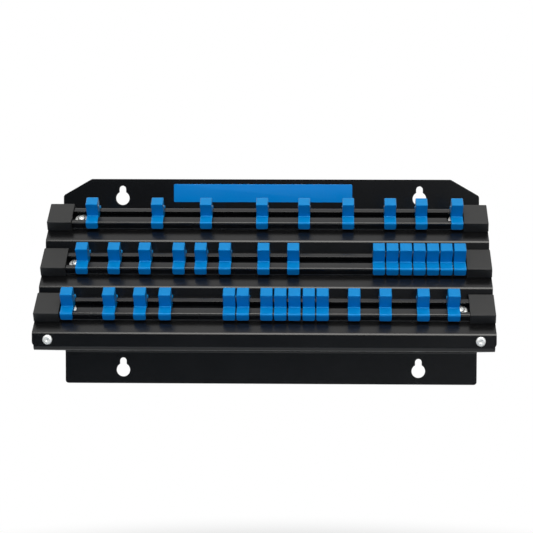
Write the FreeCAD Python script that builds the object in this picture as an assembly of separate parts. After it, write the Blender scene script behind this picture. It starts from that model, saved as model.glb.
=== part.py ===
"""Wall-mounted tool holder: a stepped steel bracket with three slotted rails of socket posts.

Millimetres, +Z up, +X to the right seen from the front. The wall is the plane Y = 0 and
the holder stands out towards -Y. The origin is the middle of the four keyholes.
On a tread, a place is given as (x, s, h): s runs up the tread from the outer corner of
the bend below it, and h stands out square to the tread.
"""
import FreeCAD, Part
import math
import os
from FreeCAD import Placement, Rotation, Vector

# Sheet steel
bracket_width = 355.6
bracket_height = 175.8
sheet_thickness = 1.6
bend_radius = 1.6
corner_cut_x = 24.3
corner_cut_z = 14.0
corner_round = 3.0

# Stepped panel, seen from the side
plate_drop = 28.35
shelf_depth = 48.7
tread_length = 35.0
tread_angle = 50.0
riser_heights = (13.0, 11.5)
flange_height = 10.3

# Lower bracket
side_inset = 0.8
lower_corner_round = 2.6
tab_overlap = 8.0
tab_reach = 13.3
web_fall = 14.0

# Keyholes
keyhole_spacing_x = 254.0
keyhole_spacing_z = 147.8
keyhole_top_drop = 16.4
keyhole_bore = 11.6
keyhole_slot_width = 5.7
keyhole_slot_rise = 7.8

# Label
label_width = 152.6
label_height = 15.4
label_thickness = 0.4
label_centre_x = -6.7
label_drop = 4.2
label_corner = 1.0

# Rails
rail_width = 19.05
rail_height = 6.8
rail_wall = 1.2
rail_slot = 7.0
rail_slot_offset = 1.1
rail_shoulder = 1.2
rail_end_inset = 3.0
rail_notch_depth = 3.5
rail_notch_length = 30.0

# End caps
cap_length = 19.5
cap_overhang = 0.5
cap_side_wall = 1.775
cap_top_wall = 1.8
cap_back_extra = 0.8
cap_edge_round = 0.8
cap_foot_cut = 2.2
cap_fit = 0.1
cap_draft = 0.5
cap_tongue_length = 8.0

# Clips
post_width = 9.46
post_depth = 9.2
post_length = 12.0
post_edge_round = 0.5
post_setback = 8.75
clip_skirt = 1.6
clip_skirt_gap = 2.0
clip_base_over = 1.5
clip_corner_round = 1.6
clip_edge_round = 1.0
clip_fit = 0.25
clip_foot_thickness = 1.2
detent_proud = 0.42
detent_radius = 1.7
detent_from_tip = 5.7

# Spare rail on the left of each clip, then right of the last: shares of a row's free length
clip_gaps = (
    (11.5, 42.6, 29.1, 35.0, 23.6, 25.2, 23.5, 14.8, 18.3, 0.4),
    (7.9, 15.2, 14.1, 16.6, 7.1, 8.8, 20.2, 13.2, 57.2, 0.3, 0.3, 0.3, 0.3, 0.3, 0.3, 0.4),
    (0.8, 22.5, 13.6, 9.2, 39.4, 0.3, 7.9, 0.4, 0.5, 0.8, 0.3, 14.0, 13.8, 18.8, 13.2, 7.3),
)

# Fasteners
rail_screw_from_end = 26.0
rail_screw_shank = 3.5
rail_screw_head = 6.2
rail_screw_head_height = 1.9
rail_screw_flange = 10.6
rail_screw_flange_height = 0.8
rail_screw_overhang = 2.0
front_bolt_from_end = 12.1
front_bolt_drop = 5.2
front_bolt_shank = 4.0
front_bolt_head = 7.6
front_bolt_head_height = 2.2
front_bolt_overhang = 2.6
socket_flats = 2.5
socket_depth = 1.3
nut_flats = 7.0
nut_height = 3.2
shank_fit = 0.2
thread_fit = 0.05

PARTS = "parts"
X_AXIS = Vector(1, 0, 0)
Y_AXIS = Vector(0, 1, 0)
Z_AXIS = Vector(0, 0, 1)

# Places that follow from the sizes above
plate_top = keyhole_spacing_z / 2 + keyhole_top_drop
plate_bottom = plate_top - bracket_height
lean = math.radians(tread_angle)
tread_out = tread_length * math.sin(lean)
tread_drop = tread_length * math.cos(lean)
clip_width = post_width + 2 * detent_proud
clip_base_depth = rail_width + 2 * (clip_fit + clip_skirt)
cap_inner_x = bracket_width / 2 - cap_length
cap_depth = rail_width + 2 * (cap_fit + cap_side_wall)
cap_height = rail_height + cap_fit + cap_top_wall
rail_centre_s = tread_length - cap_depth / 2
rail_screw_x = bracket_width / 2 - rail_screw_from_end
rail_screw_s = rail_centre_s + rail_slot_offset
rail_screw_length = rail_wall + sheet_thickness + nut_height + rail_screw_overhang
front_bolt_x = bracket_width / 2 - front_bolt_from_end
front_bolt_length = 2 * sheet_thickness + nut_height + front_bolt_overhang


def save(name, shape):
    """Write one sub-part to its own file."""
    shape.exportStep(os.path.join(PARTS, name + ".step"))


def step_outline():
    """Corner points of the stepped panel's front face, as (distance from the wall, height)."""
    out, height = sheet_thickness, plate_top
    points = [(out, height)]
    height -= plate_drop
    points.append((out, height))
    out += shelf_depth
    points.append((out, height))
    for riser in riser_heights + (flange_height,):
        out += tread_out
        height -= tread_drop
        points.append((out, height))
        height -= riser
        points.append((out, height))
    return points


def bend_corners():
    """Outer corner of the bend at the foot of each tread, as (distance from the wall, height)."""
    return step_outline()[3::2]


def lower_outline():
    """Corner points of the lower bracket's outer face, from its front tab to the wall flange."""
    out, bend_height = bend_corners()[-1]
    out -= sheet_thickness
    foot = bend_height - tab_reach
    return [
        (out, bend_height - flange_height + tab_overlap),
        (out, foot),
        (sheet_thickness, foot - web_fall),
        (sheet_thickness, plate_bottom),
    ]


def shifted(points, distance):
    """The same outline moved sideways by a distance, to the right of its direction."""
    lines = []
    for (a0, a1), (b0, b1) in zip(points, points[1:]):
        length = math.hypot(b0 - a0, b1 - a1)
        side = ((b1 - a1) / length * distance, -(b0 - a0) / length * distance)
        lines.append(((a0 + side[0], a1 + side[1]), (b0 + side[0], b1 + side[1])))
    result = [lines[0][0]]
    for (p, q), (r, t) in zip(lines, lines[1:]):
        d1 = (q[0] - p[0], q[1] - p[1])
        d2 = (t[0] - r[0], t[1] - r[1])
        cross = d1[0] * d2[1] - d1[1] * d2[0]
        along = ((r[0] - p[0]) * d2[1] - (r[1] - p[1]) * d2[0]) / cross
        result.append((p[0] + d1[0] * along, p[1] + d1[1] * along))
    result.append(lines[-1][1])
    return result


def rounded_path(points, radii):
    """Edges along the points, with an arc of the given radius at each corner between."""
    corners = [Vector(0, -out, height) for out, height in points]
    edges, start = [], corners[0]
    for before, corner, after, radius in zip(corners, corners[1:], corners[2:], radii):
        to_before = (before - corner).normalize()
        to_after = (after - corner).normalize()
        half = to_before.getAngle(to_after) / 2
        reach = radius / math.tan(half)
        first, last = corner + to_before * reach, corner + to_after * reach
        middle_way = (to_before + to_after).normalize()
        middle = corner + middle_way * (radius / math.sin(half) - radius)
        edges.append(Part.LineSegment(start, first).toShape())
        edges.append(Part.Arc(first, middle, last).toShape())
        start = last
    edges.append(Part.LineSegment(start, corners[-1]).toShape())
    return edges


def folded_sheet(points, width, back_side):
    """A bent sheet whose front face follows the points; its back lies to one side of them."""
    back = shifted(points, sheet_thickness * back_side)
    front_radii, back_radii = [], []
    for before, corner, after in zip(points, points[1:], points[2:]):
        turn = (corner[0] - before[0]) * (after[1] - corner[1])
        turn -= (corner[1] - before[1]) * (after[0] - corner[0])
        back_is_inside = turn * back_side < 0
        front_radii.append(bend_radius + (sheet_thickness if back_is_inside else 0))
        back_radii.append(bend_radius + (0 if back_is_inside else sheet_thickness))
    front_edges = rounded_path(points, front_radii)
    back_edges = rounded_path(back, back_radii)
    ends = []
    for near, far in ((points[0], back[0]), (points[-1], back[-1])):
        ends.append(Part.LineSegment(Vector(0, -near[0], near[1]), Vector(0, -far[0], far[1])).toShape())
    wire = Part.Wire(Part.__sortEdges__(front_edges + back_edges + ends))
    sheet = Part.Face(wire).extrude(X_AXIS * width)
    sheet.translate(X_AXIS * (-width / 2))
    return sheet


def keyhole(x, height):
    """Cutter for one keyhole: a round bore with a narrower slot above it."""
    deep = 6 * sheet_thickness
    bore = Part.makeCylinder(keyhole_bore / 2, deep, Vector(x, deep / 2, height), -Y_AXIS)
    top = Part.makeCylinder(
        keyhole_slot_width / 2, deep, Vector(x, deep / 2, height + keyhole_slot_rise), -Y_AXIS)
    slot = Part.makeBox(keyhole_slot_width, deep, keyhole_slot_rise,
                        Vector(x - keyhole_slot_width / 2, -deep / 2, height))
    return bore.fuse([top, slot])


def front_bolt_height():
    """Height of the two bolts that join the sheets."""
    return bend_corners()[-1][1] - front_bolt_drop


def corner_cutter(side):
    """Cutter for one top corner of the plate: a slanted cut with rounded ends."""
    deep = 6 * sheet_thickness
    edge = side * bracket_width / 2
    outline = [Vector(edge + side * corner_cut_x, deep / 2, plate_top - corner_cut_z),
               Vector(edge, deep / 2, plate_top - corner_cut_z),
               Vector(edge - side * corner_cut_x, deep / 2, plate_top),
               Vector(edge - side * corner_cut_x, deep / 2, plate_top + corner_cut_z),
               Vector(edge + side * corner_cut_x, deep / 2, plate_top + corner_cut_z)]
    return Part.Face(Part.makePolygon(outline + outline[:1])).extrude(-Y_AXIS * deep)


def round_upright_edges(shape, places, radius):
    """Fillet the edges along Y that pass through the given (x, height) places."""
    edges = []
    for edge in shape.Edges:
        ends = [vertex.Point for vertex in edge.Vertexes]
        if len(ends) < 2 or (ends[1] - ends[0]).cross(Y_AXIS).Length > 1e-6:
            continue
        if any(math.hypot(ends[0].x - x, ends[0].z - z) < 0.01 for x, z in places):
            edges.append(edge)
    return shape.makeFillet(radius, edges)


def stepped_panel():
    """Upper sheet: wall plate, shelf, three treads with their risers, and the front flange."""
    panel = folded_sheet(step_outline(), bracket_width, 1)
    panel = panel.cut([corner_cutter(-1), corner_cutter(1)])
    half = bracket_width / 2
    places = [(side * half, plate_top - corner_cut_z) for side in (-1, 1)]
    places += [(side * (half - corner_cut_x), plate_top) for side in (-1, 1)]
    panel = round_upright_edges(panel, places, corner_round)
    cutters = [keyhole(side * keyhole_spacing_x / 2, keyhole_spacing_z / 2) for side in (-1, 1)]
    for row in range(len(clip_gaps)):
        for side in (-1, 1):
            hole = Part.makeCylinder(rail_screw_shank / 2 + shank_fit, 6 * sheet_thickness,
                                     Vector(side * rail_screw_x, rail_screw_s, -3 * sheet_thickness))
            cutters.append(on_tread(hole, row))
    cutters += [bolt_hole(side) for side in (-1, 1)]
    return panel.cut(cutters)


def lower_bracket():
    """Lower sheet: front tab behind the flange, sloping web and wall flange."""
    half = bracket_width / 2 - side_inset
    bracket = folded_sheet(lower_outline(), 2 * half, 1)
    bracket = round_upright_edges(bracket, [(-half, plate_bottom), (half, plate_bottom)], lower_corner_round)
    cutters = [keyhole(side * keyhole_spacing_x / 2, -keyhole_spacing_z / 2) for side in (-1, 1)]
    cutters += [bolt_hole(side) for side in (-1, 1)]
    return bracket.cut(cutters)


def bolt_hole(side):
    """Cutter for one front bolt through both sheets."""
    front = bend_corners()[-1][0] + sheet_thickness
    return Part.makeCylinder(front_bolt_shank / 2 + shank_fit, 4 * sheet_thickness,
                             Vector(side * front_bolt_x, -front, front_bolt_height()), Y_AXIS)


def on_tread(shape, row):
    """Place a shape built in tread axes (x, s, h) on one of the treads."""
    out, height = bend_corners()[row]
    place = Placement(Vector(0, -out, height), Rotation(X_AXIS, 90 - tread_angle))
    return shape.transformed(place.toMatrix())


def box(x0, x1, s0, s1, h0, h1):
    """A block between two corners."""
    return Part.makeBox(x1 - x0, s1 - s0, h1 - h0, Vector(x0, s0, h0))


def label():
    """Bare plastic label on the front of the plate."""
    low = plate_top - label_drop - label_height
    plate = Part.makeBox(label_width, label_thickness, label_height,
                         Vector(label_centre_x - label_width / 2, -sheet_thickness - label_thickness, low))
    corners = [(label_centre_x + side * label_width / 2, height)
               for side in (-1, 1) for height in (low, low + label_height)]
    return round_upright_edges(plate, corners, label_corner)


def rail():
    """Slotted rail in tread axes: a web, two sides and two lips, the lower one notched at its ends."""
    half = bracket_width / 2 - rail_end_inset
    near, far = rail_centre_s - rail_width / 2, rail_centre_s + rail_width / 2
    body = box(-half, half, near, far, 0, rail_height)
    outer = [e for e in body.Edges if abs(e.BoundBox.XLength - 2 * half) < 1e-6
             and e.BoundBox.ZMin > rail_height - 1e-6]
    body = body.makeFillet(rail_shoulder, outer)
    inside = box(-half - 1, half + 1, near + rail_wall, far - rail_wall, rail_wall, rail_height - rail_wall)
    slot_near, slot_far = rail_screw_s - rail_slot / 2, rail_screw_s + rail_slot / 2
    cutters = [inside, box(-half - 1, half + 1, slot_near, slot_far, rail_wall, rail_height + 1)]
    for side in (-1, 1):
        start, end = sorted((side * (half - rail_notch_length), side * (half + 1)))
        cutters.append(box(start, end, slot_near - rail_notch_depth, slot_far, rail_wall, rail_height + 1))
        cutters.append(Part.makeCylinder(rail_screw_shank / 2 + shank_fit, 4 * rail_wall,
                                         Vector(side * rail_screw_x, rail_screw_s, -rail_wall)))
    return body.cut(cutters)


def end_cap(side):
    """Cap over one end of a rail, in tread axes, with a tongue inside the rail's channel."""
    inner, outer = cap_inner_x, bracket_width / 2 + cap_overhang
    front = rail_centre_s - cap_depth / 2
    back = rail_centre_s + cap_depth / 2 + cap_back_extra
    profile = [Vector(0, front, 0), Vector(0, back - cap_foot_cut, 0),
               Vector(0, back, cap_foot_cut), Vector(0, back, cap_height), Vector(0, front, cap_height)]
    block = Part.Face(Part.makePolygon(profile + profile[:1])).extrude(X_AXIS * (outer - inner))
    block.translate(X_AXIS * inner)
    tilt = math.atan2(cap_draft, cap_height)
    slope = Part.makeBox(4 * cap_draft, 2 * cap_depth, 2 * cap_height,
                         Vector(0, -cap_depth / 2, 0))
    slope.rotate(Vector(0, 0, 0), Y_AXIS, -math.degrees(tilt))
    slope.translate(Vector(outer, rail_centre_s - cap_depth / 2, 0))
    block = block.cut(slope)
    rounded = [e for e in block.Edges if e.BoundBox.ZMin > cap_height - 1e-6
               and e.BoundBox.XMax > inner + 1e-6]
    block = block.makeFillet(cap_edge_round, rounded)
    near = rail_centre_s - rail_width / 2 - cap_fit
    far = rail_centre_s + rail_width / 2 + cap_fit
    rail_end = bracket_width / 2 - rail_end_inset + cap_fit
    pocket = box(inner - 1, rail_end, near, far, -1, rail_height + cap_fit)
    tongue = box(rail_end - cap_tongue_length, rail_end,
                 near + rail_wall + 2 * cap_fit, far - rail_wall - 2 * cap_fit,
                 rail_wall + cap_fit, rail_height - rail_wall - cap_fit)
    cap = block.cut(pocket).fuse(tongue).removeSplitter()
    return cap if side > 0 else cap.mirror(Vector(0, 0, 0), X_AXIS)


def clip(x):
    """Socket clip in tread axes: square post, base over the rail, and a foot in its slot."""
    half = post_width / 2
    top = rail_height + clip_base_over
    front = rail_centre_s - clip_base_depth / 2
    back = rail_centre_s + clip_base_depth / 2
    bottom = clip_skirt_gap
    base = box(-half, half, front, back, bottom, top)
    base = base.makeFillet(clip_corner_round, [e for e in base.Edges if e.BoundBox.ZMax < bottom + 1e-6
                                               and e.BoundBox.YLength > 1e-6])
    rounded = [e for e in base.Edges if e.BoundBox.ZMin > top - 1e-6 and e.BoundBox.XLength > half]
    base = base.makeFillet(clip_edge_round, rounded)
    over_rail = box(-half - 1, half + 1, rail_centre_s - rail_width / 2 - clip_fit,
                    rail_centre_s + rail_width / 2 + clip_fit, -1, rail_height + clip_fit)
    neck = box(-half, half, rail_screw_s - rail_slot / 2 + clip_fit, rail_screw_s + rail_slot / 2 - clip_fit,
               rail_height - rail_wall - clip_fit - clip_foot_thickness, top - clip_edge_round)
    foot_half = rail_width / 2 - rail_wall - clip_fit
    foot_top = rail_height - rail_wall - clip_fit
    foot = box(-half, half, rail_centre_s - foot_half, rail_centre_s + foot_half,
               foot_top - clip_foot_thickness, foot_top)
    post_front = front + post_setback
    post = box(-half, half, post_front, post_front + post_depth, top, top + post_length)
    post = post.makeFillet(post_edge_round, [e for e in post.Edges if e.BoundBox.ZMax > top + 1e-6])
    shape = base.cut(over_rail).fuse([neck, foot, post, detent(1, post_front), detent(-1, post_front)])
    shape = shape.removeSplitter()
    shape.translate(X_AXIS * x)
    return shape


def detent(side, post_front):
    """Ball in one side of a post, which stands a little proud and grips the socket."""
    centre = Vector(side * (post_width / 2 + detent_proud - detent_radius), post_front + post_depth / 2,
                    rail_height + clip_base_over + post_length - detent_from_tip)
    return Part.makeSphere(detent_radius, centre)


def clip_places(gaps):
    """Middle of each clip in a row, from the shares of spare rail between them."""
    spare = 2 * cap_inner_x - clip_width * (len(gaps) - 1)
    unit = spare / sum(gaps)
    places, edge = [], -cap_inner_x
    for gap in gaps[:-1]:
        places.append(edge + gap * unit + clip_width / 2)
        edge = places[-1] + clip_width / 2
    return places


def hex_prism(flats, height, base):
    """A six-sided block standing on a place along +Z."""
    radius = flats / math.sqrt(3)
    corners = [base + Vector(radius * math.cos(math.radians(60 * i)),
                             radius * math.sin(math.radians(60 * i)), 0) for i in range(7)]
    return Part.Face(Part.makePolygon(corners)).extrude(Z_AXIS * height)


def button_screw(shank, head, head_height, length, flats):
    """Round-headed screw along +Z, with its head standing on h = 0 and a hex socket."""
    dome_radius = (head ** 2 / 4 + head_height ** 2) / (2 * head_height)
    dome = Part.makeSphere(dome_radius, Vector(0, 0, head_height - dome_radius))
    top = dome.common(Part.makeCylinder(head / 2, head_height, Vector(0, 0, 0)))
    body = Part.makeCylinder(shank / 2, length + head_height / 2, Vector(0, 0, -length))
    return top.fuse(body).removeSplitter().cut(
        hex_prism(flats, socket_depth + 1, Vector(0, 0, head_height - socket_depth)))


def nut(shank, top):
    """Hexagon nut below a height, bored to its screw."""
    bore = Part.makeCylinder(shank / 2 + thread_fit, nut_height + 2, Vector(0, 0, top - nut_height - 1))
    return hex_prism(nut_flats, nut_height, Vector(0, 0, top - nut_height)).cut(bore)


def rail_fasteners():
    """Screws and nuts that hold each rail's web to its tread, one at each end."""
    screws, nuts = [], []
    for row in range(len(clip_gaps)):
        for side in (-1, 1):
            screw = button_screw(rail_screw_shank, rail_screw_head, rail_screw_head_height,
                                 rail_screw_length + rail_screw_flange_height, socket_flats)
            screw.translate(Z_AXIS * rail_screw_flange_height)
            screw = screw.fuse(Part.makeCylinder(rail_screw_flange / 2, rail_screw_flange_height))
            screw.translate(Vector(side * rail_screw_x, rail_screw_s, rail_wall))
            screws.append(on_tread(screw.removeSplitter(), row))
            holder = nut(rail_screw_shank, -sheet_thickness)
            holder.translate(Vector(side * rail_screw_x, rail_screw_s, 0))
            nuts.append(on_tread(holder, row))
    return Part.makeCompound(screws), Part.makeCompound(nuts)


def front_fasteners():
    """Bolts and nuts that join the front flange to the lower bracket's tab."""
    front = bend_corners()[-1][0]
    bolts, nuts = [], []
    for side in (-1, 1):
        place = Placement(Vector(side * front_bolt_x, -front, front_bolt_height()),
                          Rotation(X_AXIS, 90))
        bolt = button_screw(front_bolt_shank, front_bolt_head, front_bolt_head_height,
                            front_bolt_length, socket_flats)
        bolts.append(bolt.transformed(place.toMatrix()))
        nuts.append(nut(front_bolt_shank, -2 * sheet_thickness).transformed(place.toMatrix()))
    return Part.makeCompound(bolts), Part.makeCompound(nuts)


os.makedirs(PARTS, exist_ok=True)
save("stepped_panel", stepped_panel())
save("lower_bracket", lower_bracket())
save("label", label())
for row, gaps in enumerate(clip_gaps):
    save(f"rail_{row + 1}", on_tread(rail(), row))
    for side, word in ((-1, "left"), (1, "right")):
        save(f"end_cap_{word}_{row + 1}", on_tread(end_cap(side), row))
    for number, x in enumerate(clip_places(gaps)):
        save(f"clip_{row + 1}_{number + 1:02d}", on_tread(clip(x), row))
rail_screws, rail_nuts = rail_fasteners()
save("rail_screws", rail_screws)
save("rail_nuts", rail_nuts)
front_bolts, front_nuts = front_fasteners()
save("front_bolts", front_bolts)
save("front_nuts", front_nuts)
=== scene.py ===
"""Looks of the wall-mounted tool holder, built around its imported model.

Everything is in metres in the part's own frame: +Z up, +X to the right seen from the front,
the wall at Y = 0 and the steps towards -Y. Pieces on a tread are shaped in that tread's own
axes (x, t, h): t runs up the tread from the middle of its rail and h stands out square to it.
Sizes are fields in millimetres; places come from the frame's own boxes.
"""
import logging
import math
from dataclasses import dataclass, field
from enum import Enum

import bmesh
import bpy
import numpy as np
from mathutils import Matrix, Vector


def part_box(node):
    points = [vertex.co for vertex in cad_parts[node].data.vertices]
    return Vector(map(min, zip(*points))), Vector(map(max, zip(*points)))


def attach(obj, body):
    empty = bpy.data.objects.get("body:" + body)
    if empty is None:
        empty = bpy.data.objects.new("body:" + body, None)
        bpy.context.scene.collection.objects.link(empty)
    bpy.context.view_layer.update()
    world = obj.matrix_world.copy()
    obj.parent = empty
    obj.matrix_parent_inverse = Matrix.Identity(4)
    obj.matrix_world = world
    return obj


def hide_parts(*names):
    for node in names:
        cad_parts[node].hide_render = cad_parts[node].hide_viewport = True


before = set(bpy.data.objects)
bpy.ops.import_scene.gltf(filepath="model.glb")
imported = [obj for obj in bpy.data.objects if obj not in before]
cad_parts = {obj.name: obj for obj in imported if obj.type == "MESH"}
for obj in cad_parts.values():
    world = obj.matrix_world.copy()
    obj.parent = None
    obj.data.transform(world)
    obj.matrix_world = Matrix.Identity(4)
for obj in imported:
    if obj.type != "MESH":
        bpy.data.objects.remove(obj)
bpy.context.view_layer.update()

LOG = logging.getLogger("tool_holder")
MM = 0.001
MERGE_MM = 0.002
FIXED_BODY = "bracket"

Pair = tuple[float, float]
Triple = tuple[float, float, float]
Surface = tuple[np.ndarray, list]


class Slot(Enum):
    """Material slots of the record."""

    SHEET = "powder_coated_steel"
    RAIL = "black_rail_steel"
    CAP = "black_plastic"
    CLIP = "blue_plastic"
    ZINC = "zinc_plated_steel"
    LABEL = "label_film"


class Side(Enum):
    """Left or right end, seen from the front."""

    LEFT = -1
    RIGHT = 1


def to_linear(hex_colour: str) -> tuple[float, float, float, float]:
    """Turn an sRGB hex colour into linear red, green, blue and alpha.

    Args:
        hex_colour: Six hex digits, such as "1f6fd0".

    Returns:
        Linear components from 0 to 1, with alpha 1.
    """
    srgb = np.array([int(hex_colour[i:i + 2], 16) / 255 for i in (0, 2, 4)])
    linear = np.where(srgb <= 0.04045, srgb / 12.92, ((srgb + 0.055) / 1.055) ** 2.4)
    return (*(float(c) for c in linear), 1.0)


def add_node(tree: bpy.types.NodeTree, kind: str, links: dict | None = None, **settings) -> bpy.types.Node:
    """Add a node, set its properties or sockets, and link its inputs.

    Args:
        tree: Node tree that gets the node.
        kind: Blender's type name of the node.
        links: Input name or number to the output socket that feeds it.
        **settings: Node properties, or input sockets written with underscores for spaces.

    Returns:
        The new node.
    """
    node = tree.nodes.new(kind)
    for key, value in settings.items():
        if hasattr(node, key):
            setattr(node, key, value)
        else:
            node.inputs[key.replace("_", " ")].default_value = value
    for key, output in (links or {}).items():
        tree.links.new(output, node.inputs[key])
    return node


def new_material(name: str) -> tuple[bpy.types.Material, bpy.types.NodeTree, bpy.types.Node]:
    """Make an empty node material with its output.

    Args:
        name: Name of the material.

    Returns:
        The material, its node tree and its output node.
    """
    material = bpy.data.materials.new(name)
    material.use_nodes = True
    tree = material.node_tree
    tree.nodes.clear()
    return material, tree, add_node(tree, "ShaderNodeOutputMaterial")


@dataclass(frozen=True)
class Grain:
    """A noise pattern: the width of its grains, how finely they break up, and how long they are drawn."""

    size_mm: float
    detail: float = 2.0
    length_mm: float = 0.0


@dataclass(frozen=True)
class Relief:
    """A bump: its pattern, how strongly it tilts the surface and its height."""

    grain: Grain
    strength: float
    height_mm: float


@dataclass(frozen=True)
class Finish:
    """What every finish shares: a wavering tone, a wavering gloss, and reliefs laid over each other.

    Patterns read Object coordinates. A noise of scale 1 / size has grains about that size wide.
    """

    name: str
    tones: tuple[str, str]
    tone: Grain
    rough: Pair
    gloss: Grain
    reliefs: tuple[Relief, ...] = ()
    metallic: float = 0.0
    ior: float = 1.5
    specular: float = 0.5
    tint: str = "ffffff"

    def patterns(self, tree: bpy.types.NodeTree) -> dict[Grain, bpy.types.NodeSocket]:
        """Add one noise for each different grain.

        Args:
            tree: Node tree of the material.

        Returns:
            Each grain's output, from 0 to 1.
        """
        place = add_node(tree, "ShaderNodeTexCoord").outputs["Object"]
        found = {}
        for grain in dict.fromkeys((self.tone, self.gloss, *(relief.grain for relief in self.reliefs))):
            at = place
            if grain.length_mm:
                drawn = (grain.size_mm / grain.length_mm, 1.0, 1.0)
                at = add_node(tree, "ShaderNodeMapping", {"Vector": place}, Scale=drawn).outputs["Vector"]
            noise = add_node(tree, "ShaderNodeTexNoise", {"Vector": at},
                             Scale=1.0 / (grain.size_mm * MM), Detail=grain.detail)
            found[grain] = noise.outputs["Fac"]
        return found

    def build(self) -> bpy.types.Material:
        """Make the material from its patterns and one Principled shader."""
        material, tree, output = new_material(self.name)
        patterns = self.patterns(tree)
        skin = add_node(tree, "ShaderNodeBsdfPrincipled", Base_Color=to_linear(self.tones[0]),
                        Metallic=self.metallic, IOR=self.ior, Specular_IOR_Level=self.specular,
                        Specular_Tint=to_linear(self.tint))
        if self.tones[0] != self.tones[1]:
            colour = add_node(tree, "ShaderNodeMix", {0: patterns[self.tone]}, data_type="RGBA")
            colour.inputs[6].default_value = to_linear(self.tones[0])
            colour.inputs[7].default_value = to_linear(self.tones[1])
            tree.links.new(colour.outputs[2], skin.inputs["Base Color"])
        rough = add_node(tree, "ShaderNodeMapRange", {"Value": patterns[self.gloss]},
                         To_Min=self.rough[0], To_Max=self.rough[1])
        tree.links.new(rough.outputs["Result"], skin.inputs["Roughness"])
        below = {}
        for relief in self.reliefs:
            bump = add_node(tree, "ShaderNodeBump", {"Height": patterns[relief.grain], **below},
                            Strength=relief.strength, Distance=relief.height_mm * MM)
            below = {"Normal": bump.outputs["Normal"]}
        for name, normal in below.items():
            tree.links.new(normal, skin.inputs[name])
        tree.links.new(skin.outputs["BSDF"], output.inputs["Surface"])
        return material


@dataclass(frozen=True)
class PowderCoat(Finish):
    """Polyester powder coat on sheet steel, sprayed and baked.

    The bake leaves a low orange peel about 2.4 mm from crest to crest, which breaks up the light at
    the bends, and a fine grain under it. The grain is really about 0.1 mm and is drawn at 0.5 mm so
    that it shows. The near-black clouds a little, about 38 mm across.
    """

    name: str = "powder_coat_black"
    tones: tuple[str, str] = ("040405", "080809")
    tone: Grain = Grain(38.0, detail=3.0)
    rough: Pair = (0.20, 0.27)
    gloss: Grain = Grain(38.0, detail=3.0)
    reliefs: tuple[Relief, ...] = (Relief(Grain(2.4, detail=1.0), 0.35, 0.04),
                                   Relief(Grain(0.5), 0.30, 0.012))


@dataclass(frozen=True)
class RailEnamel(Finish):
    """Semi-gloss black enamel on rolled steel strip.

    Rolling leaves faint lines along the rail, about 0.7 mm apart and 60 mm long, which still show in
    the gloss of the paint.
    """

    name: str = "rail_enamel_black"
    tones: tuple[str, str] = ("080809", "101011")
    tone: Grain = Grain(0.7, length_mm=60.0)
    rough: Pair = (0.22, 0.32)
    gloss: Grain = Grain(22.0, detail=3.0)
    reliefs: tuple[Relief, ...] = (Relief(Grain(0.7, length_mm=60.0), 0.25, 0.015),)


@dataclass(frozen=True)
class MouldedCap(Finish):
    """Black ABS, injection moulded in a spark-eroded tool.

    The tool leaves an even matt grain about 0.25 mm wide, drawn at 0.6 mm so that it shows.
    """

    name: str = "abs_black_grained"
    tones: tuple[str, str] = ("161616", "1c1c1b")
    tone: Grain = Grain(12.0)
    rough: Pair = (0.46, 0.60)
    gloss: Grain = Grain(0.6, detail=3.0)
    reliefs: tuple[Relief, ...] = (Relief(Grain(0.6, detail=3.0), 0.4, 0.03),)
    ior: float = 1.53
    specular: float = 0.4


@dataclass(frozen=True)
class MouldedClip(Finish):
    """Blue nylon, injection moulded.

    The pigment clouds a little along the flow, a few millimetres wide, and the mould's satin polish
    leaves a low ripple about 1.2 mm wide in the gloss, which keeps some of the blue.
    """

    name: str = "nylon_blue_moulded"
    tones: tuple[str, str] = ("0078b8", "0082c2")
    tone: Grain = Grain(6.0)
    rough: Pair = (0.26, 0.36)
    gloss: Grain = Grain(1.2)
    reliefs: tuple[Relief, ...] = (Relief(Grain(1.2), 0.25, 0.02),)
    ior: float = 1.53
    specular: float = 0.55
    tint: str = "70bcff"


@dataclass(frozen=True)
class ZincPlate(Finish):
    """Bright zinc plate on steel fasteners.

    The plate is passivated, so its silver wavers a little towards blue, and tumbling leaves fine
    marks that soften its shine. They are drawn 0.5 mm wide so that they show.
    """

    name: str = "zinc_plate_bright"
    tones: tuple[str, str] = ("f0f0ec", "e4e8ec")
    tone: Grain = Grain(3.0)
    rough: Pair = (0.48, 0.60)
    gloss: Grain = Grain(0.5)
    reliefs: tuple[Relief, ...] = (Relief(Grain(0.5), 0.2, 0.01),)
    metallic: float = 1.0


@dataclass(frozen=True)
class BallSteel(Finish):
    """Hardened chrome steel ball, ground and polished, with a thin smear of grease in places."""

    name: str = "chrome_steel_polished"
    tones: tuple[str, str] = ("d6d8db", "d6d8db")
    tone: Grain = Grain(0.8)
    rough: Pair = (0.22, 0.34)
    gloss: Grain = Grain(0.8)
    metallic: float = 1.0


@dataclass(frozen=True)
class LabelFilm(Finish):
    """Gloss vinyl film, printed a plain blue and stuck to the plate.

    The film takes up some of the coat's orange peel below it, 2.4 mm from crest to crest.
    """

    name: str = "vinyl_label_blue"
    tones: tuple[str, str] = ("007ecc", "0082d1")
    tone: Grain = Grain(30.0)
    rough: Pair = (0.14, 0.20)
    gloss: Grain = Grain(30.0)
    reliefs: tuple[Relief, ...] = (Relief(Grain(2.4, detail=1.0), 0.2, 0.02),)
    ior: float = 1.52
    specular: float = 0.3


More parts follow.
